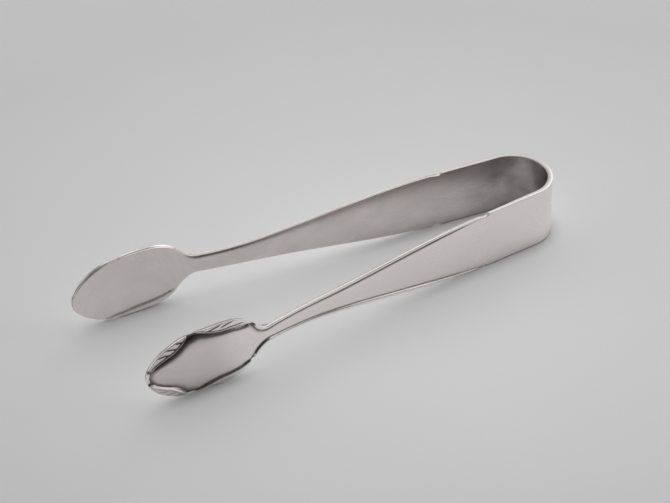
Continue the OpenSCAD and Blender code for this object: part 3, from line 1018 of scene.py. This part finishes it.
def paper():
    """Pale paper: its glow falls evenly with the distance from the pool, times the open share round it."""
    material = bpy.data.materials.new("pale_paper")
    material.use_nodes = True
    tree = material.node_tree
    shader = tree.nodes["Principled BSDF"]
    place = tree.nodes.new("ShaderNodeTexCoord").outputs["Object"]
    tone = range_node(tree, noise_node(tree, place, PAPER_SCALE, PAPER_DETAIL), 0.0, 1.0)
    link(tree, mix_colour(tree, tone, *PAPER_TONES), shader.inputs["Base Color"])
    shader.inputs["Roughness"].default_value = PAPER_ROUGHNESS
    shader.inputs["Specular IOR Level"].default_value = PAPER_GLOSS
    shader.inputs["Emission Color"].default_value = (1, 1, 1, 1)
    nearby = tree.nodes.new("ShaderNodeAmbientOcclusion")
    nearby.inputs["Distance"].default_value = GLOW_SHADE
    pool = tree.nodes.new("ShaderNodeVectorMath")
    pool.operation = "DISTANCE"
    link(tree, place, pool.inputs[0])
    pool.inputs[1].default_value = GLOW_PLACE
    spread = range_node(tree, pool.outputs["Value"], *GLOW, *GLOW_REACH)
    link(tree, maths_node(tree, "MULTIPLY", nearby.outputs["AO"], spread), shader.inputs["Emission Strength"])
    return material


span = FLOOR_SIZE / 2
floor_mesh = bpy.data.meshes.new("floor")
floor_corners = [(-span, -span, 0), (span, -span, 0), (span, span, 0), (-span, span, 0)]
floor_mesh.from_pydata(floor_corners, [], [(0, 1, 2, 3)])
floor_mesh.materials.append(paper())
floor = bpy.data.objects.new("floor", floor_mesh)
bpy.context.scene.collection.objects.link(floor)
floor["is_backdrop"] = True
print(f"floor {FLOOR_SIZE} m square, glow {GLOW[0]} falling to {GLOW[1]}")

# %% [markdown]
# Silver is often photographed in a tent of white cloth that is lit from outside. Three walls, each with a low
# and a high panel and a piece of roof, stand to the right, behind and to the left. The camera's side is open
# and dim, which is what the coves mirror, so they turn dark. An environment picture could light it too, but
# panels can be changed one by one.

# %% Light tent
WALL_REACH, WALL_WIDE = 0.75, 1.1
ROOF_REACH, ROOF_HEIGHT, ROOF_SIZE = 0.4, 1.0, 0.7
WALLS = {
    "right": (5, {"low": 0.9, "high": 0.9, "roof": 0.9}),
    "back": (65, {"low": 0.35, "high": 0.95, "roof": 0.7}),
    "left": (140, {"low": 0.7, "high": 0.5, "roof": 0.2}),
}
BANDS = {"low": (0.02, 0.34), "high": (0.36, 0.9)}
ROOM_GREY = 0.05


def soft_light(name, place, aim, wide, high, brightness):
    """A rectangular area light that faces its aim. Its power is its brightness times pi times its area."""
    light = bpy.data.lights.new(name, "AREA")
    light.shape = "RECTANGLE"
    light.size, light.size_y = wide, high
    light.energy = brightness * math.pi * wide * high
    lamp = bpy.data.objects.new(name, light)
    lamp.location = place
    lamp.rotation_euler = (Vector(aim) - Vector(place)).to_track_quat("-Z", "Y").to_euler()
    bpy.context.scene.collection.objects.link(lamp)


for wall, (turn, panels) in WALLS.items():
    out = Vector((math.cos(math.radians(turn)), math.sin(math.radians(turn)), 0))
    for panel, brightness in panels.items():
        if panel == "roof":
            place = out * ROOF_REACH + Vector((0, 0, ROOF_HEIGHT))
            soft_light(f"{wall}_{panel}", place, out * ROOF_REACH, ROOF_SIZE, ROOF_SIZE, brightness)
        else:
            low, high = BANDS[panel]
            aim = Vector((0, 0, (low + high) / 2))
            soft_light(f"{wall}_{panel}", out * WALL_REACH + aim, aim, WALL_WIDE, high - low, brightness)

room = bpy.data.worlds.new("room")
bpy.context.scene.world = room
room.use_nodes = True
room.node_tree.nodes["Background"].inputs["Color"].default_value = (ROOM_GREY, ROOM_GREY, ROOM_GREY, 1)
bpy.context.scene.view_settings.view_transform = "Standard"
print("lights:", ", ".join(light.name for light in bpy.data.lights))

# %% [markdown]
# The camera is a long lens from the front left. Its place comes from fitting the strip's outline to the
# photograph, which is 670 pixels wide, so the focal length in pixels becomes a lens length on Blender's
# 36 mm sensor.

# %% Camera
IMAGE_WIDTH, SENSOR_WIDTH = 670, 36
FOCAL_PIXELS = 3984.76
AZIMUTH, ELEVATION, ROLL = math.radians(-32.16), math.radians(34.679), math.radians(0.2635)
AIM = Vector((15.9, 24.285, -9.527)) * MM
DISTANCE = 911.716 * MM
CLIP_NEAR, CLIP_FAR = 0.05, 20

flat_reach = math.cos(ELEVATION)
back = Vector((math.sin(AZIMUTH) * flat_reach, -math.cos(AZIMUTH) * flat_reach, math.sin(ELEVATION)))
level = Vector((0, 0, 1)).cross(back).normalized()
upright = back.cross(level)
right = level * math.cos(ROLL) + upright * math.sin(ROLL)
up = upright * math.cos(ROLL) - level * math.sin(ROLL)

lens = bpy.data.cameras.new("camera")
lens.sensor_width = SENSOR_WIDTH
lens.lens = FOCAL_PIXELS / IMAGE_WIDTH * SENSOR_WIDTH
lens.clip_start, lens.clip_end = CLIP_NEAR, CLIP_FAR
camera = bpy.data.objects.new("camera", lens)
pose = Matrix((right, up, back)).transposed().to_4x4()
pose.translation = AIM + back * DISTANCE
camera.matrix_world = pose
bpy.context.scene.collection.objects.link(camera)
bpy.context.scene.camera = camera
print(f"lens of {lens.lens:.0f} mm, {DISTANCE:.2f} m from its aim")

# %% [markdown]
# The surfaces are meant to keep the object's size. So the CAD model's box and the box of what is shown
# are printed side by side.

low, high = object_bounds()
for box, corners in (("cad", (*cad_low, *cad_high)), ("visual", (*low, *high))):
    print(box, [round(v / MM, 2) for v in corners], "mm")
